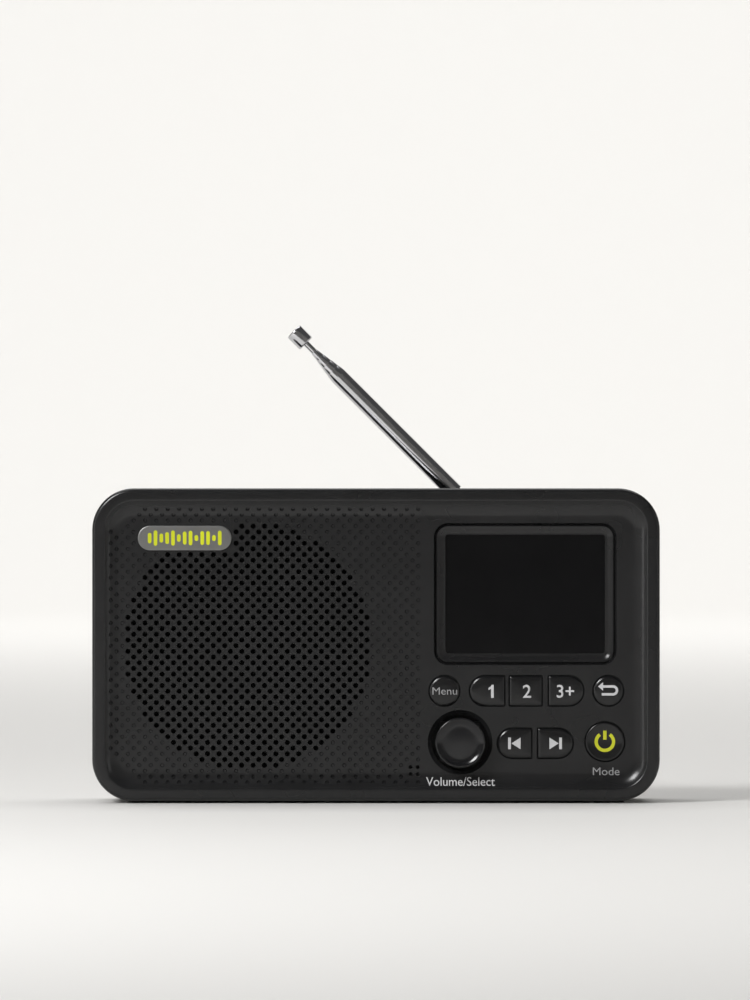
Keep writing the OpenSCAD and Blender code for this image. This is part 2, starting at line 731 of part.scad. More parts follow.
module battery_door() color([0.15, 0.15, 0.155]) {
  w = bay_w + 2 * (door_ledge - door_gap);
  h = bay_h + 2 * (door_ledge - door_gap);
  tab_w = 8;
  difference() {
    translate([cell_x, 0, cell_z]) along_y(y_back - door_t, y_back) rounded_rect(w, h, 1.2);
    for (k = [0 : 3])
      translate([cell_x + w / 2 - 8 - 2 * k, y_back, cell_z]) cube([0.8, 0.8, 9], center = true);
  }
  for (side = [-1, 1], x = [-20, 20])
    translate([cell_x + x - tab_w / 2, y_back - door_t - 2.4, cell_z + side * (bay_h / 2 - 0.9) - 0.4])
      cube([tab_w, 2.5, 0.8]);
}

// ---- antenna ----

// Places what is drawn along +Z onto the leaning antenna, from its tilt pin
module on_antenna()
  translate([pin_x, pin_y, pin_z]) rotate([0, antenna_lean - 90, 0]) children();

function tube_d(n) = antenna_d - (n - 1) * tube_step;
function tube_end(n) = tube_end_first + (n - 1) * tube_end_step;
function tube_foot(n) = tube_start + 0.6 * n;

module antenna_base() color([0.75, 0.76, 0.78]) {
  ear_in = 1.3;
  ear_t = 1.2;
  disc_top = swivel_pocket_z + 1.1;
  difference() {
    union() {
      translate([pin_x, pin_y, swivel_pocket_z + 0.05]) cylinder(r = 4, h = disc_top - swivel_pocket_z - 0.05);
      translate([pin_x, pin_y, groove_under_z - 0.8]) cylinder(r = 2, h = 4 - 0.6);
      for (side = [-1, 1]) {
        y = pin_y + side * (ear_in + ear_t / 2);
        rod_y(pin_x, pin_z, 2.1, y - ear_t / 2, y + ear_t / 2);
        block([pin_x - 2.1, y - ear_t / 2, disc_top - 0.3], [pin_x + 2.1, y + ear_t / 2, pin_z]);
      }
    }
    rod_y(pin_x, pin_z, 1, pin_y - 4, pin_y + 4);
    translate([pin_x, pin_y, groove_under_z - 2]) cylinder(r = 1.05, h = 3.4);
  }
}

module antenna_pin() color([0.7, 0.7, 0.72])
  rod_y(pin_x, pin_z, 1, pin_y - 2.6, pin_y + 2.6);

module antenna_washer() color([0.7, 0.7, 0.72])
  translate([pin_x, pin_y, groove_under_z - 0.5]) difference() {
    cylinder(r = 3.9, h = 0.5);
    translate([0, 0, -1]) cylinder(r = 2.4, h = 3);
  }

module antenna_screw() color([0.6, 0.6, 0.62])
  translate([pin_x, pin_y, groove_under_z - 0.8]) {
    translate([0, 0, -1.6]) cylinder(r = 3.4, h = 1.6);
    translate([0, 0, -eps]) cylinder(r = 1, h = 1.9);
  }

module antenna_lead() color([0.1, 0.1, 0.1])
  wire([
    [pin_x + 4.6, pin_y, groove_under_z - 1.2], [pin_x + 6.5, 15, groove_under_z - 1.8],
    [pin_x + 8, 12, 80], [36, 8, 77], [37.6, 4, 74.5], [38.6, 1, 72], [39.4, -2, 70]
  ], 1.2, [0, 0, 1]);

module antenna_knuckle() color([0.75, 0.76, 0.78])
  on_antenna() difference() {
    union() {
      rotate([90, 0, 0]) cylinder(r = 2, h = 2.4, center = true);
      translate([-2, -1.2, 0]) cube([4, 2.4, tube_start]);
      translate([0, 0, 2.7]) cylinder(r = antenna_d / 2, h = tube_start - 2.7);
    }
    rotate([90, 0, 0]) cylinder(r = 1.04, h = 4, center = true);
  }

// Section n of the antenna: a tube that narrows to the next one at its mouth
module antenna_tube(n) color([0.75, 0.76, 0.78]) {
  r = tube_d(n) / 2;
  next_r = tube_d(n + 1) / 2 + tube_fit;
  z0 = tube_foot(n) - (n == 1 ? 0.6 : 0);
  z1 = tube_end(n);
  taper = 1.1;
  on_antenna() rotate_extrude()
    polygon([
      [next_r, z0], [r, z0], [r, z1 - taper], [next_r + 0.1, z1], [next_r, z1]
    ]);
}

module antenna_section_1() antenna_tube(1);
module antenna_section_2() antenna_tube(2);
module antenna_section_3() antenna_tube(3);
module antenna_section_4() antenna_tube(4);

module antenna_section_5() color([0.75, 0.76, 0.78])
  on_antenna() translate([0, 0, tube_foot(antenna_sections)])
    cylinder(d = tube_d(antenna_sections), h = antenna_len - tip_len + 1 - tube_foot(antenna_sections));

module antenna_tip() color([0.72, 0.73, 0.75])
  on_antenna() difference() {
    rotate_extrude()
      polygon([
        [0, antenna_len - tip_len], [2.3, antenna_len - tip_len], [2.7, antenna_len - tip_len + 0.5],
        [2.7, antenna_len - 0.5], [2.3, antenna_len], [0, antenna_len]
      ]);
    translate([0, 0, antenna_len - tip_len - 1])
      cylinder(d = tube_d(antenna_sections), h = 2);
  }

front_cover();
speaker_grille();
grille_cloth();
badge();
display_lens();
lcd_module();
lcd_bracket();
lcd_flex();
menu_key();
preset_key_1();
preset_key_2();
preset_key_3();
back_key();
previous_key();
next_key();
power_key();
volume_knob();
encoder_shaft();
encoder_plunger();
encoder_body();
encoder_nut();
key_board();
tact_switches();
key_board_screws();
microphone();
main_board();
tuner_shield();
main_chips();
capacitors();
board_header();
board_screws();
port_board();
usb_port();
headphone_jack();
speaker_gasket();
speaker_basket();
speaker_surround();
speaker_cone();
speaker_dust_cap();
speaker_magnet();
speaker_screws();
speaker_wires();
battery_cell();
battery_contacts();
battery_door();
rear_cover();
case_screws();
rubber_feet();
antenna_base();
antenna_pin();
antenna_washer();
antenna_screw();
antenna_lead();
antenna_knuckle();
antenna_section_1();
antenna_section_2();
antenna_section_3();
antenna_section_4();
antenna_section_5();
antenna_tip();
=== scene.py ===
"""Tabletop radio: the looks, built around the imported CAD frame. Lengths are in millimetres unless a name or a
docstring says otherwise; MM turns them into Blender's metres."""
import json
import math

import bmesh
import bpy
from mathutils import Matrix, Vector
from mathutils.geometry import delaunay_2d_cdt


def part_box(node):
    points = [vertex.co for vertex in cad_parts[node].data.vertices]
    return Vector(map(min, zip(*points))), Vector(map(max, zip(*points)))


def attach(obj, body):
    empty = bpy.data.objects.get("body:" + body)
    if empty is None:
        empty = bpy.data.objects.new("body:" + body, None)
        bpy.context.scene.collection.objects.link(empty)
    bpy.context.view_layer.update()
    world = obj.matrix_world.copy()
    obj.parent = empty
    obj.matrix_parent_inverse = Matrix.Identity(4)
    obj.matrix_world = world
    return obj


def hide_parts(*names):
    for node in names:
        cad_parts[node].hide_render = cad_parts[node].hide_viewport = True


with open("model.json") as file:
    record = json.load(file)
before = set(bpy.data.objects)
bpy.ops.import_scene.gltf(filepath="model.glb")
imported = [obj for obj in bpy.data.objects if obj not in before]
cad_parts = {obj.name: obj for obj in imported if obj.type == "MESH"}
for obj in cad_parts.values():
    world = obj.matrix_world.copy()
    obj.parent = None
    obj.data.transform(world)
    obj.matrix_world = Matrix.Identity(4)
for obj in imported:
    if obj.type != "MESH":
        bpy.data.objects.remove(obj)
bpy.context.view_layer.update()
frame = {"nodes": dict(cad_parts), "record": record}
NODES = frame["nodes"]
MM = 0.001


def box_mm(node):
    """Lowest and highest corner of a CAD node, in millimetres."""
    low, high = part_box(node)
    return [c / MM for c in low], [c / MM for c in high]


# ---- sizes, from the frame ----

COVER_LOW, COVER_HIGH = box_mm("front_cover")
REAR_LOW, _ = box_mm("rear_cover")
CASE_W = COVER_HIGH[0] - COVER_LOW[0]
CASE_H = COVER_HIGH[2] - COVER_LOW[2]
CASE_Z = (COVER_HIGH[2] + COVER_LOW[2]) / 2
Y_RIM = COVER_LOW[1]
SPIGOT = 2  # how far the rear cover reaches into the front one
Y_SEAM = REAR_LOW[1] + SPIGOT
GRILLE_LOW, GRILLE_HIGH = box_mm("speaker_grille")
Y_FLOOR = GRILLE_LOW[1]
Y_PANEL = GRILLE_HIGH[1]
GRILLE_X = (GRILLE_LOW[0] + GRILLE_HIGH[0]) / 2
GRILLE_Z = (GRILLE_LOW[2] + GRILLE_HIGH[2]) / 2
CORNER_R = 12.5
FRONT_EDGE = 1.3
WALL = 2.2
RIM_W = 3.7
COVE_W = 4.8
RIM_BLEND = 0.35
DISH_DEPTH = Y_FLOOR - Y_RIM
COVE_R = (COVE_W**2 + DISH_DEPTH**2) / (2 * DISH_DEPTH)

HOLE_STEP = 1.705
HOLE_R = 0.7
HOLE_LIP = 0.12
HOLE_FIELD_R = 37.8 - HOLE_R
DIMPLE_R = 0.62
DIMPLE_FOOT_R = 0.4
DIMPLE_DEPTH = 0.28
DIMPLE_FIELD = (-80.0, 13.6, 5.8, 89.6)  # left, right, low, high
DIMPLE_MARGIN = 0.9
MIC_CLEAR = 3.4
KNOB_CLEAR = 1
BADGE_CLEAR = 0.2

LENS_LOW, LENS_HIGH = box_mm("display_lens")
LENS_HIDDEN = 2.1
LENS_W = LENS_HIGH[0] - LENS_LOW[0] - 2 * LENS_HIDDEN
LENS_H = LENS_HIGH[2] - LENS_LOW[2] - 2 * LENS_HIDDEN
LENS_X = (LENS_HIGH[0] + LENS_LOW[0]) / 2
LENS_Z = (LENS_HIGH[2] + LENS_LOW[2]) / 2
BEZEL_W = 3.5
BEZEL_DEPTH = 1.3
LENS_CORNER = 0.8
BEZEL_R = BEZEL_W + LENS_CORNER
# Around the display, a narrow groove and a bead that rolls down to the lens: (distance in, depth)
GROOVE = (0.45, 1.15)
BEAD_TOP = (1.0, 0.65)
BEAD_FOOT = 3.1

KNOB_LOW, KNOB_HIGH = box_mm("volume_knob")
KNOB_X = (KNOB_LOW[0] + KNOB_HIGH[0]) / 2
KNOB_Z = (KNOB_LOW[2] + KNOB_HIGH[2]) / 2
KNOB_R = (KNOB_HIGH[0] - KNOB_LOW[0]) / 2
KNOB_RING_R = 9.7
KNOB_HOLE_R = 8.5
KNOB_CHAMFER = 0.9

# The CAD keys have a hidden flange that reaches past the cap, and the opening is a gap wider than the cap
FLANGE = 0.5
KEY_GAP = 0.3
KEY_CORNER = 0.35
OPENING_LIP = 0.13
OPENING_CORNER = 0.48
ROUND_LEFT = {"menu_key", "preset_key_1", "back_key", "previous_key", "power_key"}
ROUND_RIGHT = {"menu_key", "preset_key_3", "back_key", "next_key", "power_key"}
KEY_NAMES = ["menu_key", "preset_key_1", "preset_key_2", "preset_key_3", "back_key", "previous_key",
             "next_key", "power_key"]
MIC_STEP = 1.05
MIC_X, MIC_Z = 11.45, 9.75
MIC_R = 0.5
MIC_LIP = 0.1

BADGE_LOW, BADGE_HIGH = box_mm("badge")


def key_box(name):
    """Cap of a key: left, right, low, high."""
    low, high = box_mm(name)
    return low[0] + FLANGE, high[0] - FLANGE, low[2] + FLANGE, high[2] - FLANGE


# ---- mesh helpers ----

def make_object(name, verts, faces, body, material, scale=MM, angle=30):
    """Mesh object from points and faces, smooth with creases sharper than angle, riding on a body."""
    mesh = bpy.data.meshes.new(name)
    mesh.from_pydata([[c * scale for c in v] for v in verts], [], faces)
    mesh.validate()
    outward = bmesh.new()
    outward.from_mesh(mesh)
    bmesh.ops.recalc_face_normals(outward, faces=outward.faces)
    outward.to_mesh(mesh)
    outward.free()
    mesh.polygons.foreach_set("use_smooth", [True] * len(mesh.polygons))
    mesh.set_sharp_from_angle(angle=math.radians(angle))
    mesh.update()
    piece = bpy.data.objects.new(name, mesh)
    bpy.context.scene.collection.objects.link(piece)
    mesh.materials.append(material)
    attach(piece, body)
    return piece


def arc(cx, cz, r, start, end, count):
    """Points on an arc, both ends included, angles in degrees."""
    turn = [math.radians(start + (end - start) * i / count) for i in range(count + 1)]
    return [(cx + r * math.cos(t), cz + r * math.sin(t)) for t in turn]


def circle(cx, cz, r, count):
    """Closed circle of count points."""
    return arc(cx, cz, r, 0, 360, count)[:-1]


def rounded_loop(cx, cz, w, h, r, count=12):
    """Closed rounded rectangle, anticlockwise, count segments in each corner."""
    points = []
    for k, (sx, sz) in enumerate([(1, 1), (-1, 1), (-1, -1), (1, -1)]):
        points += arc(cx + sx * (w / 2 - r), cz + sz * (h / 2 - r), r, 90 * k, 90 * k + 90, count)
    return points


def end_loop(x0, x1, z0, z1, round_left, round_right, inset=0.0, corner=KEY_CORNER, count=14):
    """Outline with half-circle ends where round, and small corners elsewhere; inset shrinks it."""
    x0, x1, z0, z1 = x0 + inset, x1 - inset, z0 + inset, z1 - inset
    half = (z1 - z0) / 2
    small = min(corner + 0.6 * inset, 0.95 * half, 0.475 * (x1 - x0)) if inset > 0 else corner - inset
    right = half if round_right else small
    left = half if round_left else small
    corners = [(x1 - right, z1 - right, right, 0), (x0 + left, z1 - left, left, 90),
               (x0 + left, z0 + left, left, 180), (x1 - right, z0 + right, right, 270)]
    points = []
    for cx, cz, r, start in corners:
        points += arc(cx, cz, r, start, start + 90, count)
    return points


def key_loop(name, inset=0.0):
    """Outline of a key's cap, inset from its edge."""
    return end_loop(*key_box(name), name in ROUND_LEFT, name in ROUND_RIGHT, inset)


class Builder:
    """Collects points and faces, and joins points that share a place."""

    def __init__(self):
        self.verts = []
        self.faces = []
        self.index = {}

    def point(self, x, y, z):
        key = (round(x, 4), round(y, 4), round(z, 4))
        if key not in self.index:
            self.index[key] = len(self.verts)
            self.verts.append((x, y, z))
        return self.index[key]

    def face(self, ids):
        clean = [v for i, v in enumerate(ids) if v != ids[i - 1]]
        if len(clean) > 2 and len(set(clean)) == len(clean):
            self.faces.append(clean)

    def loft(self, rings, flip=False):
        """Quads between closed rings of equal length, each ring a list of points."""
        rows = [[self.point(*p) for p in ring] for ring in rings]
        count = len(rows[0])
        for a, b in zip(rows, rows[1:]):
            for i in range(count):
                j = (i + 1) % count
                quad = [a[i], b[i], b[j], a[j]]
                self.face(quad[::-1] if flip else quad)

    def cap(self, ring, flip=False):
        """One flat face over a closed ring."""
        ids = [self.point(*p) for p in ring]
        self.face(ids[::-1] if flip else ids)


def at_depth(loop, y):
    """Places an outline drawn in X and Z at depth y."""
    return [(x, y, z) for x, z in loop]


def plate(builder, rings, keep, height, flip=False):
    """Triangulates the area that closed rings share, keeps the triangles whose middle passes keep, and lifts
    each point to height."""
    points, edges = [], []
    for ring in rings:
        start = len(points)
        points += ring
        if len(ring) > 1:
            edges += [(start + i, start + (i + 1) % len(ring)) for i in range(len(ring))]
    found, _, triangles, sources, *_ = delaunay_2d_cdt([Vector(p) for p in points], edges, [], 0, 1e-5)
    out = [points[given[0]] if given else (place.x, place.y) for place, given in zip(found, sources)]
    ids = [None] * len(out)
    for triangle in triangles:
        mid_x = sum(out[i][0] for i in triangle) / len(triangle)
        mid_z = sum(out[i][1] for i in triangle) / len(triangle)
        if not keep(mid_x, mid_z):
            continue
        for i in triangle:
            if ids[i] is None:
                ids[i] = builder.point(out[i][0], height(*out[i]), out[i][1])
        corner = [ids[i] for i in triangle]
        builder.face(corner if flip else corner[::-1])


# ---- front face ----

def edge_distance(x, z):
    """Distance inwards from the case outline seen from the front."""
    qx = abs(x) - (CASE_W / 2 - CORNER_R)
    qz = abs(z - CASE_Z) - (CASE_H / 2 - CORNER_R)
    return CORNER_R - math.hypot(max(qx, 0), max(qz, 0)) - min(max(qx, qz), 0)


def smooth_max(a, b, blend):
    """Larger of two values, with the crease between them rounded."""
    mix = max(blend - abs(a - b), 0) / blend
    return max(a, b) + mix * mix * blend / 4


def dish_profile(d):
    """Depth of the front face at distance d in from the outline."""
    if d < FRONT_EDGE:
        return Y_RIM + FRONT_EDGE - math.sqrt(max(FRONT_EDGE**2 - (FRONT_EDGE - d) ** 2, 0))
    run = max(RIM_W + COVE_W - d, 0)
    if run > COVE_R:
        return Y_RIM
    cove = Y_FLOOR - COVE_R + math.sqrt(COVE_R**2 - run**2)
    return smooth_max(Y_RIM, cove, RIM_BLEND)


def rect_distance(x, z, cx, cz, w, h, r):
    """Signed distance outside a rounded rectangle."""
    qx = abs(x - cx) - (w / 2 - r)
    qz = abs(z - cz) - (h / 2 - r)
    return math.hypot(max(qx, 0), max(qz, 0)) + min(max(qx, qz), 0) - r


def bezel_drop(x, z):
    """Extra depth inside the display's bezel: a narrow groove, then a bead that rolls down to the lens."""
    width, height = LENS_W + 2 * BEZEL_W, LENS_H + 2 * BEZEL_W
    inside = -rect_distance(x, z, LENS_X, LENS_Z, width, height, BEZEL_R)
    groove_in, groove_depth = GROOVE
    bead_in, bead_depth = BEAD_TOP
    if inside < groove_in:
        return groove_depth * max(inside, 0) / groove_in
    if inside < bead_in:
        return groove_depth + (bead_depth - groove_depth) * (inside - groove_in) / (bead_in - groove_in)
    roll = min((inside - bead_in) / (BEAD_FOOT - bead_in), 1)
    return bead_depth + (BEZEL_DEPTH - bead_depth) * (0.5 - 0.5 * math.cos(math.pi * roll))


def knob_drop(x, z):
    """Extra depth on the chamfer around the knob."""
    inside = KNOB_RING_R - math.hypot(x - KNOB_X, z - KNOB_Z)
    return KNOB_CHAMFER * min(max(inside / (KNOB_RING_R - KNOB_HOLE_R), 0), 1)


def front_height(x, z):
    """Depth of the front face without its dimples and hole edges."""
    return dish_profile(edge_distance(x, z)) + bezel_drop(x, z) + knob_drop(x, z)


def under_badge(x, z):
    """True where a hole would touch the badge."""
    low, high = BADGE_LOW, BADGE_HIGH
    margin = HOLE_R + BADGE_CLEAR
    return low[0] - margin < x < high[0] + margin and low[2] - margin < z < high[2] + margin


def lattice():
    """Centres of the staggered pattern: (x, z, True for a hole through the grille)."""
    x0, x1, z0, z1 = DIMPLE_FIELD
    rows = range(math.floor((z0 - GRILLE_Z) / HOLE_STEP), math.ceil((z1 - GRILLE_Z) / HOLE_STEP) + 1)
    cols = range(math.floor((x0 - GRILLE_X) / HOLE_STEP), math.ceil((x1 - GRILLE_X) / HOLE_STEP) + 1)
    sites = []
    for row in rows:
        for col in cols:
            if (row + col) % 2:
                continue
            x, z = GRILLE_X + col * HOLE_STEP, GRILLE_Z + row * HOLE_STEP
            if not (x0 < x < x1 and z0 < z < z1) or under_badge(x, z):
                continue
            through = math.hypot(x - GRILLE_X, z - GRILLE_Z) < HOLE_FIELD_R
            in_corner = max(CASE_W / 2 - abs(x), CASE_H / 2 - abs(z - CASE_Z)) < CORNER_R
            margin = RIM_W + (COVE_W if in_corner else DIMPLE_MARGIN)
            clear_of_mic = math.hypot(x - MIC_X, z - MIC_Z) > MIC_CLEAR
            clear_of_knob = math.hypot(x - KNOB_X, z - KNOB_Z) > KNOB_RING_R + KNOB_CLEAR
            if through or (margin < edge_distance(x, z) and clear_of_mic and clear_of_knob):
                sites.append((x, z, through))
    return sites


def front_shell(material):
    """Front cover and grille as one closed moulding: dish, dimples, holes, window, key and knob openings."""
    shell = Builder()
    lip = 0.16
    rings, drops, openings = [], {}, []

    def note(loop, drop):
        rings.append(loop)
        for p in loop:
            drops[(round(p[0], 3), round(p[1], 3))] = drop

    def opening(outer, inner):
        """An edge rounded from outer to inner, then a wall back to the panel's rear face."""
        note(outer, 0.0)
        note(inner, lip)
        openings.append(inner)

    edge_rows = [FRONT_EDGE * (1 - math.cos(math.radians(a))) for a in (0, 12, 24, 36, 48, 60, 75, 90)]
    lip_rows = [RIM_W + t for t in (-0.6, -0.35, -0.2, -0.08, 0.05, 0.2, 0.4)]
    cove_rows = [RIM_W + COVE_W * t for t in (0.2, 0.32, 0.44, 0.56, 0.68, 0.8, 0.9, 1.0)]
    for d in edge_rows + lip_rows + cove_rows:
        rings.append(rounded_loop(0, CASE_Z, CASE_W - 2 * d, CASE_H - 2 * d, CORNER_R - d, 16))

    hole_sites = {}
    for x, z, through in lattice():
        hole_sites[(round((x - GRILLE_X) / HOLE_STEP), round((z - GRILLE_Z) / HOLE_STEP))] = through
        if through:
            note(circle(x, z, HOLE_R + HOLE_LIP, 12), 0.0)
            note(circle(x, z, HOLE_R, 12), lip)
        else:
            note(circle(x, z, DIMPLE_R, 10), 0.0)
            note(circle(x, z, DIMPLE_FOOT_R, 10), DIMPLE_DEPTH)
    mic_sites = [(MIC_X + dx, MIC_Z + dz) for dx in (-MIC_STEP, MIC_STEP) for dz in (-MIC_STEP, MIC_STEP)]
    for x, z in mic_sites:
        note(circle(x, z, MIC_R + MIC_LIP, 12), 0.0)
        note(circle(x, z, MIC_R, 12), lip)
    for name in KEY_NAMES:
        opening(key_loop(name, -KEY_GAP), key_loop(name, -KEY_GAP + OPENING_LIP))
    roll_rows = [1.15, 1.3, 1.5, 1.7, 1.9, 2.1, 2.3, 2.5, 2.7, 2.9]
    for inside in [0, GROOVE[0], BEAD_TOP[0]] + roll_rows + [BEAD_FOOT]:
        reach = BEZEL_W - inside
        width, height_out = LENS_W + 2 * reach, LENS_H + 2 * reach
        rings.append(rounded_loop(LENS_X, LENS_Z, width, height_out, LENS_CORNER + reach, 10))
    lens_loop = rounded_loop(LENS_X, LENS_Z, LENS_W, LENS_H, LENS_CORNER, 10)
    note(lens_loop, 0.0)
    openings.append(lens_loop)
    rings += [circle(KNOB_X, KNOB_Z, KNOB_RING_R - 0.3 * step, 72) for step in range(4)]
    knob_loop = circle(KNOB_X, KNOB_Z, KNOB_HOLE_R, 72)
    note(knob_loop, 0.0)
    openings.append(knob_loop)

    key_rects = [(name, key_box(name)) for name in KEY_NAMES]

    def in_key(x, z):
        for name, (x0, x1, z0, z1) in key_rects:
            grow = KEY_GAP - OPENING_LIP
            if not (x0 - grow < x < x1 + grow and z0 - grow < z < z1 + grow):
                continue
            half = (z1 - z0) / 2
            mid = (z0 + z1) / 2
            if name in ROUND_LEFT and x < x0 + half:
                return math.hypot(x - x0 - half, z - mid) < half + grow
            if name in ROUND_RIGHT and x > x1 - half:
                return math.hypot(x - x1 + half, z - mid) < half + grow
            w, h = x1 - x0 + 2 * grow, z1 - z0 + 2 * grow
            return rect_distance(x, z, (x0 + x1) / 2, mid, w, h, OPENING_CORNER) < 0
        return False

    def solid(x, z):
        """True where the panel has material."""
        col, row = round((x - GRILLE_X) / HOLE_STEP), round((z - GRILLE_Z) / HOLE_STEP)
        for c in (col - 1, col, col + 1):
            for r in (row - 1, row, row + 1):
                if hole_sites.get((c, r)):
                    away_x, away_z = x - GRILLE_X - c * HOLE_STEP, z - GRILLE_Z - r * HOLE_STEP
                    if math.hypot(away_x, away_z) < HOLE_R * 0.98:
                        return False
        if any(math.hypot(x - mx, z - mz) < MIC_R * 0.98 for mx, mz in mic_sites):
            return False
        if math.hypot(x - KNOB_X, z - KNOB_Z) < KNOB_HOLE_R * 0.999:
            return False
        if rect_distance(x, z, LENS_X, LENS_Z, LENS_W, LENS_H, LENS_CORNER) < 0:
            return False
        return not in_key(x, z)

    def height(x, z):
        return front_height(x, z) + drops.get((round(x, 3), round(z, 3)), 0.0)

    plate(shell, rings, lambda x, z: edge_distance(x, z) > 0 and solid(x, z), height)

    # Hole walls down to the rear face of the panel, and that face
    small = [circle(x, z, HOLE_R, 12) for x, z, through in lattice() if through]
    small += [circle(x, z, MIC_R, 12) for x, z in mic_sites]
    for loop in small + openings:
        shell.loft([[(x, height(x, z), z) for x, z in loop], at_depth(loop, Y_PANEL)])
    inner = rounded_loop(0, CASE_Z, CASE_W - 2 * WALL, CASE_H - 2 * WALL, CORNER_R - WALL, 16)
    plate(shell, [inner] + small + openings, lambda x, z: edge_distance(x, z) > WALL and solid(x, z),
          lambda x, z: Y_PANEL, flip=True)

    # Side walls, with a small rounded step at the joint line
    def ring(inset, y):
        w, h = CASE_W - 2 * inset, CASE_H - 2 * inset
        return at_depth(rounded_loop(0, CASE_Z, w, h, CORNER_R - inset, 16), y)

    step = 0.3
    walls = [(0, Y_RIM + FRONT_EDGE), (0, Y_RIM + 6), (0, Y_SEAM - 1.5 * step), (step / 3, Y_SEAM - step),
             (step, Y_SEAM - step + 0.02), (step, Y_SEAM), (WALL, Y_SEAM), (WALL, Y_PANEL)]
    shell.loft([ring(inset, y) for inset, y in walls])
    return make_object("front_shell", shell.verts, shell.faces, "root", material, angle=28)


# ---- materials ----

def node_material(name):
    """Empty principled material: the material, its node tree and its shader."""
    material = bpy.data.materials.new(name)
    material.use_nodes = True
    tree = material.node_tree
    return material, tree, tree.nodes["Principled BSDF"]


def object_noise(tree, per_metre, detail=2.0, stretch=(1, 1, 1)):
    """Noise on the object's own coordinates, per_metre cells to the metre."""
    coordinates = tree.nodes.new("ShaderNodeTexCoord")
    mapping = tree.nodes.new("ShaderNodeMapping")
    mapping.inputs["Scale"].default_value = stretch
    noise = tree.nodes.new("ShaderNodeTexNoise")
    noise.inputs["Scale"].default_value = per_metre
    noise.inputs["Detail"].default_value = detail
    tree.links.new(coordinates.outputs["Object"], mapping.inputs["Vector"])
    tree.links.new(mapping.outputs["Vector"], noise.inputs["Vector"])
    return noise


def ramp(tree, source, low, high, start=0.3, end=0.7):
    """Maps a grey value onto the range low to high."""
    spread = tree.nodes.new("ShaderNodeMapRange")
    spread.inputs["From Min"].default_value = start
    spread.inputs["From Max"].default_value = end
    spread.inputs["To Min"].default_value = low
    spread.inputs["To Max"].default_value = high
    tree.links.new(source, spread.inputs["Value"])
    return spread.outputs["Result"]


def two_colours(tree, source, low, high):
    """Colour between low and high, by a grey value."""
    mix = tree.nodes.new("ShaderNodeMix")
    mix.data_type = "RGBA"
    mix.inputs["A"].default_value = (*low, 1)
    mix.inputs["B"].default_value = (*high, 1)
    tree.links.new(source, mix.inputs["Factor"])
    return mix.outputs["Result"]


def bump(tree, shader, source, strength, distance):
    """Fine relief from a grey value; distance is in metres."""
    relief = tree.nodes.new("ShaderNodeBump")
    relief.inputs["Strength"].default_value = strength
    relief.inputs["Distance"].default_value = distance
    tree.links.new(source, relief.inputs["Height"])
    tree.links.new(relief.outputs["Normal"], shader.inputs["Normal"])


def moulded(name, colour, roughness, grain_mm=0.3, grain=0.25, spread=0.06, vary=0.12, coat=0.0,
            shine=0.5):
    """Moulded plastic or rubber: fine grain, uneven gloss and a slight unevenness of tone."""
    material, tree, shader = node_material(name)
    fine = object_noise(tree, 1 / (grain_mm * MM), 3)
    broad = object_noise(tree, 55, 2)
    tone = ramp(tree, broad.outputs["Fac"], 0, 1)
    dark = [c * (1 - vary) for c in colour]
    light = [min(c * (1 + vary), 1) for c in colour]
    tree.links.new(two_colours(tree, tone, dark, light), shader.inputs["Base Color"])
    smudge = object_noise(tree, 190, 4)
    tree.links.new(ramp(tree, smudge.outputs["Fac"], roughness - spread, roughness + spread),
                   shader.inputs["Roughness"])
    bump(tree, shader, fine.outputs["Fac"], grain, grain_mm * 0.08 * MM)
    shader.inputs["Specular IOR Level"].default_value = shine
    if coat:
        shader.inputs["Coat Weight"].default_value = coat
        shader.inputs["Coat Roughness"].default_value = 0.08
    return material


def metal(name, colour, roughness, streak=(1, 1, 1), spread=0.05, vary=0.08):
    """Plated or bare metal with faint streaks along one direction."""
    material, tree, shader = node_material(name)
    shader.inputs["Metallic"].default_value = 1.0
    streaks = object_noise(tree, 900, 3, streak)
    tree.links.new(ramp(tree, streaks.outputs["Fac"], roughness - spread, roughness + spread),
                   shader.inputs["Roughness"])
    cloud = object_noise(tree, 120, 2)
    tone = ramp(tree, cloud.outputs["Fac"], 0, 1)
    dark = [c * (1 - vary) for c in colour]
    tree.links.new(two_colours(tree, tone, dark, colour), shader.inputs["Base Color"])
    bump(tree, shader, streaks.outputs["Fac"], 0.06, 0.000004)
    return material


def woven(name, dark, light, pitch_mm=0.5):
    """Fine mesh cloth: two crossed sets of threads."""
    material, tree, shader = node_material(name)
    coordinates = tree.nodes.new("ShaderNodeTexCoord")
    heights = []
    for direction in ("X", "Z"):
        wave = tree.nodes.new("ShaderNodeTexWave")
        wave.bands_direction = direction
        wave.inputs["Scale"].default_value = 1 / (pitch_mm * MM) / 6.283
        tree.links.new(coordinates.outputs["Object"], wave.inputs["Vector"])
        heights.append(wave.outputs["Fac"])
    top = tree.nodes.new("ShaderNodeMath")
    top.operation = "MAXIMUM"
    tree.links.new(heights[0], top.inputs[0])
    tree.links.new(heights[1], top.inputs[1])
    tree.links.new(two_colours(tree, top.outputs[0], dark, light), shader.inputs["Base Color"])
    shader.inputs["Roughness"].default_value = 0.9
    bump(tree, shader, top.outputs[0], 0.5, 0.0001)
    return material


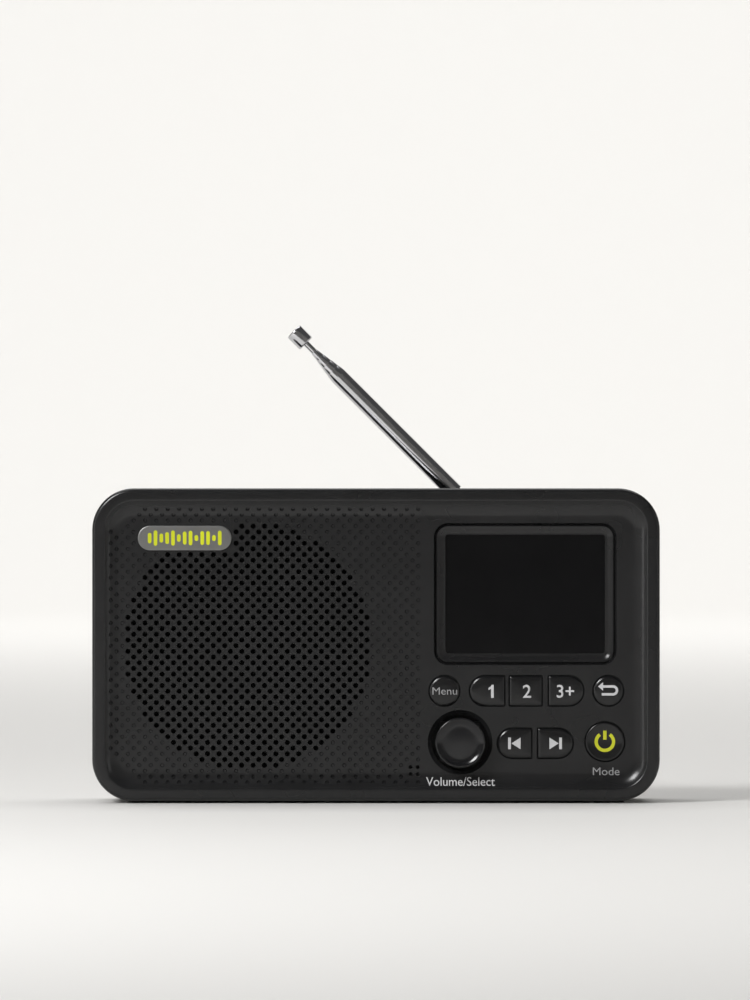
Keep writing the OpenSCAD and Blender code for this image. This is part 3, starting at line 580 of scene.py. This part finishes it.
HOUSING = moulded("housing_satin", (0.0125, 0.0125, 0.013), 0.23, grain_mm=0.22, grain=0.14, spread=0.02,
                  shine=0.43)
KEYS = moulded("key_semi_gloss", (0.009, 0.009, 0.0095), 0.20, grain=0.04, spread=0.02, shine=0.45)
KNOB = moulded("knob_polished", (0.007, 0.007, 0.008), 0.15, grain_mm=0.5, grain=0.02, spread=0.02)
LENS = moulded("lens_gloss", (0.004, 0.004, 0.0045), 0.08, grain_mm=1.0, grain=0.0, spread=0.015, shine=0.3)
BADGE = metal("badge_satin", (0.26, 0.26, 0.255), 0.42, (6, 1, 1))
BADGE_INK = moulded("badge_yellow", (0.60, 0.64, 0.012), 0.4, grain=0.1)
INK = moulded("print_grey_white", (0.62, 0.62, 0.63), 0.55, grain=0.05, vary=0.05)
FAINT_INK = moulded("print_grey", (0.32, 0.32, 0.325), 0.55, grain=0.05, vary=0.05)
POWER_INK = moulded("print_yellow", (0.60, 0.62, 0.02), 0.5, grain=0.05, vary=0.05)
CHROME = metal("chrome_plate", (0.62, 0.62, 0.64), 0.12, (1, 1, 1), 0.04)
STEEL = metal("zinc_steel", (0.42, 0.42, 0.43), 0.34, (1, 8, 1))
TIN = metal("tin_plate", (0.58, 0.58, 0.6), 0.3)
BRONZE = metal("contact_plate", (0.62, 0.56, 0.42), 0.28)
RUBBER = moulded("rubber_matt", (0.012, 0.012, 0.012), 0.75, grain_mm=0.4, grain=0.4)
FOAM = moulded("foam", (0.014, 0.014, 0.014), 0.95, grain_mm=0.5, grain=0.9)
SCRIM = woven("grille_scrim", (0.002, 0.002, 0.002), (0.008, 0.008, 0.008))
PAPER = moulded("cone_fibre", (0.015, 0.015, 0.015), 0.8, grain_mm=0.7, grain=0.6)
FERRITE = moulded("ferrite", (0.04, 0.04, 0.043), 0.6, grain_mm=0.3, grain=0.6)
BOARD = moulded("solder_mask", (0.008, 0.011, 0.009), 0.4, grain=0.1)
DARK = moulded("inner_black", (0.02, 0.02, 0.02), 0.5)
FILM = moulded("flex_film", (0.35, 0.16, 0.03), 0.3, grain=0.05)
WIRE = moulded("wire_jacket", (0.22, 0.015, 0.015), 0.45, grain=0.1)
CELL = moulded("cell_wrap", (0.02, 0.10, 0.30), 0.3, grain=0.05, coat=0.3)

CAD_MATERIALS = {
    "rear_cover": HOUSING, "battery_door": HOUSING, "grille_cloth": SCRIM, "lcd_module": TIN,
    "lcd_bracket": DARK, "lcd_flex": FILM, "encoder_shaft": STEEL, "encoder_plunger": DARK,
    "encoder_body": DARK, "encoder_nut": STEEL, "key_board": BOARD, "tact_switches": DARK,
    "key_board_screws": STEEL, "microphone": DARK, "main_board": BOARD, "tuner_shield": TIN,
    "main_chips": DARK, "capacitors": TIN, "board_header": DARK, "board_screws": STEEL,
    "port_board": BOARD, "usb_port": STEEL, "headphone_jack": DARK, "speaker_gasket": FOAM,
    "speaker_basket": STEEL, "speaker_surround": RUBBER, "speaker_cone": PAPER, "speaker_dust_cap": PAPER,
    "speaker_magnet": FERRITE, "speaker_screws": STEEL, "speaker_wires": WIRE, "battery_cell": CELL,
    "battery_contacts": BRONZE, "case_screws": STEEL, "rubber_feet": RUBBER, "antenna_base": CHROME,
    "antenna_pin": STEEL, "antenna_washer": STEEL, "antenna_screw": STEEL, "antenna_lead": WIRE,
    "antenna_knuckle": CHROME,
}
for node_name, finish in CAD_MATERIALS.items():
    NODES[node_name].material_slots[0].material = finish


# ---- pieces ----

def lathe(name, profile, origin, axis, body, material, segments=64, angle=35):
    """Solid of revolution: profile is a closed list of (radius, distance along the axis)."""
    axis = Vector(axis).normalized()
    side = axis.cross(Vector((0, 1, 0) if abs(axis.y) < 0.9 else (1, 0, 0))).normalized()
    other = axis.cross(side)
    built = Builder()
    rings = []
    for r, s in profile:
        middle = Vector(origin) + axis * s
        turn = [2 * math.pi * k / segments for k in range(segments)]
        rings.append([tuple(middle + (side * math.cos(t) + other * math.sin(t)) * r) for t in turn])
    built.loft(rings)
    return make_object(name, built.verts, built.faces, body, material, angle=angle)


def solid_between(name, rings, body, material, angle=35):
    """Closed piece lofted through rings, with flat caps at both ends."""
    built = Builder()
    built.loft(rings)
    built.cap(rings[0])
    built.cap(rings[-1], flip=True)
    return make_object(name, built.verts, built.faces, body, material, angle=angle)


# Keys: a tight lip, a bevelled edge that flattens inwards, then a low pillow. The power key is dished.
LIP = 0.15
EDGE = 1.1
EDGE_SLOPE = 0.85
PILLOW = 2.2
PILLOW_RISE = 0.10
DISH_EDGE = 0.55
DISH_RISE = 0.43
DISH_SPREAD = 1.6


def cap_rise(name, inset):
    """How far a key's face lies behind its highest point, at a distance in from its outline."""
    if name == "power_key":
        return DISH_RISE * (1 - math.exp(-max(inset - DISH_EDGE, 0) / DISH_SPREAD))
    lip = max(1 - inset / LIP, 0)
    bevel = max(1 - inset / EDGE, 0)
    pillow = max(1 - max(inset - EDGE, 0) / PILLOW, 0)
    rounding = LIP * (1 - math.sqrt(1 - lip**2))
    return rounding + EDGE_SLOPE * EDGE / 2 * bevel**2 + PILLOW_RISE * pillow**2


def cap_inset(name, x, z):
    """Distance in from a key's outline."""
    x0, x1, z0, z1 = key_box(name)
    half, mid = (z1 - z0) / 2, (z0 + z1) / 2
    if name in ROUND_LEFT and x < x0 + half:
        return half - math.hypot(x - x0 - half, z - mid)
    if name in ROUND_RIGHT and x > x1 - half:
        return half - math.hypot(x - x1 + half, z - mid)
    inset = min(z - z0, z1 - z)
    if name not in ROUND_LEFT:
        inset = min(inset, x - x0)
    if name not in ROUND_RIGHT:
        inset = min(inset, x1 - x)
    return inset


def cap_depth(name):
    """Depth of a key's face as a function of x and z."""
    y_key = box_mm(name)[0][1]
    return lambda x, z: y_key + cap_rise(name, cap_inset(name, x, z))


def key_cap(name):
    """Pillow-shaped key with a tight rounded edge; the power key is dished instead."""
    y_key = box_mm(name)[0][1]
    if name == "power_key":
        section = [(0.0, 0.6), (0.02, 0.3), (0.12, 0.13), (0.3, 0.03)]
        dish = (DISH_EDGE, 0.7, 0.95, 1.3, 1.8, 2.4, 3.1, 3.9, 4.8, 5.7)
        section += [(inset, cap_rise(name, inset)) for inset in dish]
    else:
        turns = [EDGE * (1 - math.cos(math.radians(a))) for a in range(0, 90, 10)]
        turns += [EDGE + PILLOW * k / 6 for k in range(7)]
        section = [(inset, cap_rise(name, inset)) for inset in turns]
    rings = [at_depth(key_loop(name, 0), Y_PANEL + 0.5)]
    rings += [at_depth(key_loop(name, inset), y_key + rise) for inset, rise in section]
    piece = solid_between(name + "_cap", rings, name, KEYS, angle=50)
    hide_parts(name)
    return piece


def knob():
    """Knob with a low domed face inside a rounded rim."""
    y_front, y_rear = KNOB_LOW[1], KNOB_HIGH[1]
    edge, socket_r, socket_depth = 0.48, 4.6, 1.8
    face = [(0, 0.5), (1, 0.504), (2, 0.515), (3, 0.535), (4, 0.56), (4.8, 0.58), (5.3, 0.57), (5.7, 0.52),
            (6, 0.43), (6.25, 0.32), (6.5, 0.19), (6.75, 0.07), (6.93, 0.01)]
    profile = [(r, y_front + drop) for r, drop in face]
    for a in (0, 15, 30, 45, 60, 75, 90):
        profile.append((KNOB_R - edge + edge * math.sin(math.radians(a)),
                        y_front + edge - edge * math.cos(math.radians(a))))
    profile += [(KNOB_R, y_rear - 0.3), (KNOB_R - 0.3, y_rear), (socket_r, y_rear)]
    profile += [(socket_r, y_rear - socket_depth), (0, y_rear - socket_depth)]
    centre = (KNOB_X, 0, KNOB_Z)
    piece = lathe("knob_cap", profile, centre, (0, 1, 0), "knob", KNOB, 96, 40)
    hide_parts("volume_knob")


def lens():
    """Display window with a fine bevel."""
    low, high = LENS_LOW, LENS_HIGH
    bevel, corner = 0.12, 1.8
    rings = []
    w, h = high[0] - low[0], high[2] - low[2]
    for inset, y in ((0.0, high[1]), (0.0, low[1] + bevel), (bevel, low[1])):
        loop = rounded_loop(LENS_X, LENS_Z, w - 2 * inset, h - 2 * inset, corner - inset, 10)
        rings.append(at_depth(loop, y))
    piece = solid_between("display_window", rings, "root", LENS)
    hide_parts("display_lens")


def badge():
    """Pill-shaped plate with a rounded edge and a row of raised sound bars."""
    low, high = BADGE_LOW, BADGE_HIGH
    rings = []
    for inset, y in ((0.0, high[1]), (0.0, low[1] + 0.2), (0.06, low[1] + 0.08), (0.2, low[1] + 0.01),
                     (0.4, low[1])):
        rings.append(at_depth(end_loop(low[0], high[0], low[2], high[2], True, True, inset), y))
    piece = solid_between("badge_plate", rings, "root", BADGE)
    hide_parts("badge")
    middle_x, middle_z = (low[0] + high[0]) / 2, (low[2] + high[2]) / 2
    bars, pitch, bar_w, proud, sunk = 13, 1.75, 1.1, 0.04, 0.05
    built = Builder()
    for k in range(bars):
        x = middle_x + (k - (bars - 1) / 2) * pitch
        tall = 1.5 + 3.1 * abs(math.sin(1.1 * k + 0.55))
        upright = (middle_z - tall / 2, middle_z + tall / 2, x - bar_w / 2, x + bar_w / 2)
        loop = [(b, a) for a, b in end_loop(*upright, True, True, 0.0, 0.3, 8)][::-1]
        rows = [at_depth(loop, low[1] + sunk), at_depth(loop, low[1] - proud)]
        built.loft(rows)
        built.cap(rows[0])
        built.cap(rows[1], flip=True)
    make_object("badge_sound_bars", built.verts, built.faces, "root", BADGE_INK)


def tube_d(n):
    """Diameter of antenna section n; each is a step thinner than the one outside it."""
    outermost, step = 5.3, 0.85
    return outermost - (n - 1) * step


def antenna():
    """Telescopic antenna: tubes with rolled mouths, and a turned tip."""
    joints = {j["name"]: j for j in frame["record"]["behaviour"]["joints"]}
    pin = [c / MM for c in joints["antenna_tilt"]["pos_m"]]
    axis = joints["antenna_extend_2"]["axis"]
    sections, fit, length, tip = 5, 0.075, 72.0, 5.4
    root, stagger, first_end, mouth = 4.4, 0.6, 55, 2.7
    for n in range(1, sections + 1):
        r = tube_d(n) / 2
        start = root + stagger * (n if n > 1 else 0)
        if n < sections:
            end = first_end + (n - 1) * mouth
            bore = tube_d(n + 1) / 2 + fit
            thin = bore + 0.03
            profile = [(bore, start), (r, start), (r, end - mouth), (r, end - 2.5), (r - 0.01, end - 2.3),
                       (thin + 0.02, end - 0.1), (thin, end), (bore, end - 0.02), (bore, start)]
        else:
            profile = [(0, start), (r, start), (r, length - tip + 1), (0, length - tip + 1)]
        body = "antenna_arm" if n == 1 else f"antenna_stage_{n}"
        tube = lathe(f"antenna_tube_{n}", profile, pin, axis, body, CHROME, 40, 40)
        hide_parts(f"antenna_section_{n}")
    base = length - tip
    cap_r, edge = 2.7, 0.5
    profile = [(0.9, base), (cap_r - edge, base)]
    profile += [(cap_r - edge + edge * math.sin(math.radians(a)),
                 base + edge - edge * math.cos(math.radians(a))) for a in (20, 45, 70, 90)]
    profile += [(cap_r - edge + edge * math.cos(math.radians(a)),
                 length - edge + edge * math.sin(math.radians(a))) for a in (0, 20, 45, 70, 90)]
    profile += [(1.4, length), (1.2, length - 0.15), (0, length - 0.15)]
    cap = lathe("antenna_cap", profile, pin, axis, "antenna_stage_5", CHROME, 48, 40)
    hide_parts("antenna_tip")


# ---- printed marks ----

PRINT = 0.03
SLICE = 0.5  # prints are cut this finely, so that they follow a curved face


def stroke(points, width):
    """Outline of a line of even width along points."""
    left, right = [], []
    for i, p in enumerate(points):
        a, b = points[max(i - 1, 0)], points[min(i + 1, len(points) - 1)]
        dx, dz = b[0] - a[0], b[1] - a[1]
        size = math.hypot(dx, dz)
        nx, nz = -dz / size * width / 2, dx / size * width / 2
        left.append((p[0] + nx, p[1] + nz))
        right.append((p[0] - nx, p[1] - nz))
    return left, right


def printed(name, shapes, y_front, body, material):
    """Thin ink marks: each shape is a closed outline, or a pair of edges to fill as a strip. y_front is a
    depth, or a function of x and z."""
    depth = y_front if callable(y_front) else lambda x, z: y_front
    built = Builder()
    for shape in shapes:
        if isinstance(shape, tuple):
            left, right = shape
            for (a, b), (c, d) in zip(zip(left, left[1:]), zip(right, right[1:])):
                for lift, flip in ((-PRINT, False), (PRINT, True)):
                    ids = [built.point(x, depth(x, z) + lift, z) for x, z in (a, b, d, c)]
                    built.face(ids[::-1] if flip else ids)
            loop = left + right[::-1]
        else:
            loop = shape
            for lift, flip in ((-PRINT, False), (PRINT, True)):
                ids = [built.point(x, depth(x, z) + lift, z) for x, z in loop]
                built.face(ids[::-1] if flip else ids)
        front = [(x, depth(x, z) - PRINT, z) for x, z in loop]
        back = [(x, depth(x, z) + PRINT, z) for x, z in loop]
        built.loft([back, front])
    return make_object(name, built.verts, built.faces, body, material)


def lettering(name, words, x, z, width, height, depth, body, ink, weight=0.0):
    """Generic word or digit as a thin print that follows depth, centred and fitted to a width and height."""
    curve = bpy.data.curves.new(name + "_curve", "FONT")
    curve.body = words
    curve.offset = weight
    curve.resolution_u = 4
    shape = bpy.data.objects.new(name + "_curve", curve)
    bpy.context.scene.collection.objects.link(shape)
    bpy.context.view_layer.update()
    mesh = bpy.data.meshes.new_from_object(shape.evaluated_get(bpy.context.evaluated_depsgraph_get()))
    bpy.data.objects.remove(shape)
    bpy.data.curves.remove(curve)
    flat = bmesh.new()
    flat.from_mesh(mesh)
    bmesh.ops.remove_doubles(flat, verts=flat.verts, dist=1e-5)
    xs = [v.co.x for v in flat.verts]
    ys = [v.co.y for v in flat.verts]
    across, up = width / (max(xs) - min(xs)), height / (max(ys) - min(ys))
    mid_x, mid_y = (max(xs) + min(xs)) / 2, (max(ys) + min(ys)) / 2
    for v in flat.verts:
        v.co = Vector((x + (v.co.x - mid_x) * across, 0, z + (v.co.y - mid_y) * up))
    for start, length, along in ((x, width, (1, 0, 0)), (z, height, (0, 0, 1))):
        for k in range(int(-length), int(length) + 1):
            place = Vector(along) * (start + SLICE * k)
            everything = flat.verts[:] + flat.edges[:] + flat.faces[:]
            bmesh.ops.bisect_plane(flat, geom=everything, plane_co=place, plane_no=along)
    solid = bmesh.ops.extrude_face_region(flat, geom=flat.faces[:])
    raised = {v for v in solid["geom"] if isinstance(v, bmesh.types.BMVert)}
    for v in flat.verts:
        lift = -PRINT if v in raised else PRINT
        v.co = Vector((v.co.x, depth(v.co.x, v.co.z) + lift, v.co.z)) * MM
    bmesh.ops.recalc_face_normals(flat, faces=flat.faces)
    flat.to_mesh(mesh)
    flat.free()
    mesh.name = name
    piece = bpy.data.objects.new(name, mesh)
    bpy.context.scene.collection.objects.link(piece)
    mesh.materials.append(ink)
    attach(piece, body)
    return piece


def middle(name):
    """Centre of a key."""
    x0, x1, z0, z1 = key_box(name)
    return (x0 + x1) / 2, (z0 + z1) / 2


def key_marks():
    """Digits, words and symbols on the keys and beside them."""
    for name, words, shift, width in (("preset_key_2", "2", 0.4, 2.5), ("preset_key_3", "3+", -0.2, 5.2)):
        x, z = middle(name)
        lettering(name + "_digit", words, x + shift, z - 0.1, width, 3.9, cap_depth(name), name, INK, 0.01)
    x, z = middle("preset_key_1")
    x += 1.55
    one = [(-0.4, -1.95), (0.4, -1.95), (0.4, 1.95), (-0.2, 1.95), (-0.45, 1.5), (-1.15, 1.0), (-1.15, 0.35),
           (-0.4, 0.75)]
    printed("preset_key_1_digit", [[(x + a, z - 0.1 + b) for a, b in one]], cap_depth("preset_key_1"),
            "preset_key_1", INK)
    x, z = middle("menu_key")
    lettering("menu_key_word", "Menu", x + 0.1, z, 7.4, 2.2, cap_depth("menu_key"), "menu_key", FAINT_INK)
    lettering("knob_words", "Volume/Select", KNOB_X + 0.1, 6.5, 20.6, 2.6, front_height, "root", INK)
    x, z = middle("power_key")
    lettering("power_words", "Mode", x + 0.4, 9.5, 8.0, 2.3, front_height, "root", FAINT_INK)

    x, z = middle("back_key")
    top, low, left, right = z + 1.35, z - 1.0, x - 1.6, x + 1.4
    bend = arc(right, (top + low) / 2, (top - low) / 2, 90, -90, 12)
    hook = stroke([(left, top)] + bend + [(left - 0.4, low)], 0.75)
    head = [(left - 1.5, top), (left, top + 1.25), (left, top + 0.375), (left, top - 0.375),
            (left, top - 1.25)]
    printed("back_key_arrow", [hook, head], cap_depth("back_key"), "back_key", INK)

    for name, way in (("previous_key", -1), ("next_key", 1)):
        x, z = middle(name)
        x -= way * 0.2
        tip, tail, bar, half = x + way * 1.15, x - way * 1.6, x + way * 1.3, 1.75
        wedge = [(tail, z + half), (tip, z), (tail, z - half)]
        far_bar = bar + way * 0.85
        post = [(bar, z + half), (bar, z - half), (far_bar, z - half), (far_bar, z + half)]
        printed(name + "_symbol", [wedge, post], cap_depth(name), name, INK)

    x, z = middle("power_key")
    ring = stroke(arc(x, z, 2.6, 125, 415, 40), 1.0)
    post = stroke([(x, z + 3.3), (x, z + 2), (x, z + 0.6)], 1.0)
    printed("power_key_symbol", [ring, post], cap_depth("power_key"), "power_key", POWER_INK)


front = front_shell(HOUSING)
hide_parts("front_cover", "speaker_grille")
for key_name in KEY_NAMES:
    key_cap(key_name)
knob()
lens()
badge()
antenna()
key_marks()


# ---- studio ----

def studio_material(name, colour, roughness):
    """Plain matt surface for the studio."""
    material, _, shader = node_material(name)
    shader.inputs["Base Color"].default_value = (*colour, 1)
    shader.inputs["Roughness"].default_value = roughness
    return material


def sweep():
    """Round pale floor that curves up into a plain wall well outside every view."""
    flat, r, top, segments = 4.0, 1.0, 3.4, 96
    line = [(0.6, 0), (2.0, 0), (flat, 0)]
    line += [(flat + r * math.sin(math.radians(a)), r - r * math.cos(math.radians(a)))
             for a in range(6, 96, 6)]
    line.append((flat + r, top))
    points, faces = [(0, 0, 0)], []
    for reach, z in line:
        turn = [2 * math.pi * k / segments for k in range(segments)]
        points += [(reach * math.cos(t), reach * math.sin(t), z) for t in turn]
    for k in range(segments):
        j = (k + 1) % segments
        faces.append((0, 1 + k, 1 + j))
        for row in range(len(line) - 1):
            a = 1 + row * segments
            faces.append((a + k, a + segments + k, a + segments + j, a + j))
    mesh = bpy.data.meshes.new("studio_sweep")
    mesh.from_pydata(points, [], faces)
    mesh.polygons.foreach_set("use_smooth", [True] * len(faces))
    piece = bpy.data.objects.new("studio_sweep", mesh)
    bpy.context.scene.collection.objects.link(piece)
    mesh.materials.append(studio_material("studio_pale", (0.74, 0.73, 0.71), 0.8))


def softbox(name, place, aim, size, power):
    """Rectangular light, in metres and watts, hidden from the camera."""
    light = bpy.data.lights.new(name, "AREA")
    light.shape = "RECTANGLE"
    light.size, light.size_y = size
    light.energy = power
    lamp = bpy.data.objects.new(name, light)
    lamp.visible_camera = False
    lamp.location = place
    lamp.rotation_mode = "QUATERNION"
    lamp.rotation_quaternion = (Vector(aim) - Vector(place)).to_track_quat("-Z", "Y")
    bpy.context.scene.collection.objects.link(lamp)


def studio():
    """Pale floor and wall, a dim sky, a wide light overhead and behind, and three that draw the glints."""
    sweep()
    world = bpy.data.worlds.new("studio_air")
    bpy.context.scene.world = world
    world.use_nodes = True
    world.node_tree.nodes["Background"].inputs["Color"].default_value = (0.80, 0.80, 0.80, 1)
    world.node_tree.nodes["Background"].inputs["Strength"].default_value = 0.10
    centre = (0, 0, CASE_Z * MM)
    softbox("rear_overhead", (0, 0.75, 2.4), (0, 0.6, 0), (2.8, 1.7), 34)
    softbox("wall_wash", (0, 2.6, 2.9), (0, 5, 0.6), (3.6, 0.6), 110)
    softbox("key_light", (-0.66, -0.78, 0.80), centre, (0.42, 0.42), 12)
    softbox("left_strip", (-1.06, -0.56, 0.15), centre, (0.16, 0.9), 1.5)
    softbox("right_strip", (1.06, -0.50, 0.15), centre, (0.16, 0.9), 0.7)


def camera():
    """Long lens, level and square to the front. In metres; frame_h is the height in view at the case's rim."""
    far = 2.4
    frame_h = 0.2993
    centre_x, centre_z = -0.0003, 0.0908
    data = bpy.data.cameras.new("photo_view")
    data.sensor_width = 36
    data.lens = data.sensor_width * far / frame_h
    data.clip_end = 100
    eye = bpy.data.objects.new("photo_view", data)
    eye.location = (centre_x, Y_RIM * MM - far, centre_z)
    eye.rotation_euler = (math.radians(90), 0, 0)
    bpy.context.scene.collection.objects.link(eye)
    bpy.context.scene.camera = eye


studio()
camera()
bpy.context.scene.view_settings.view_transform = "Standard"
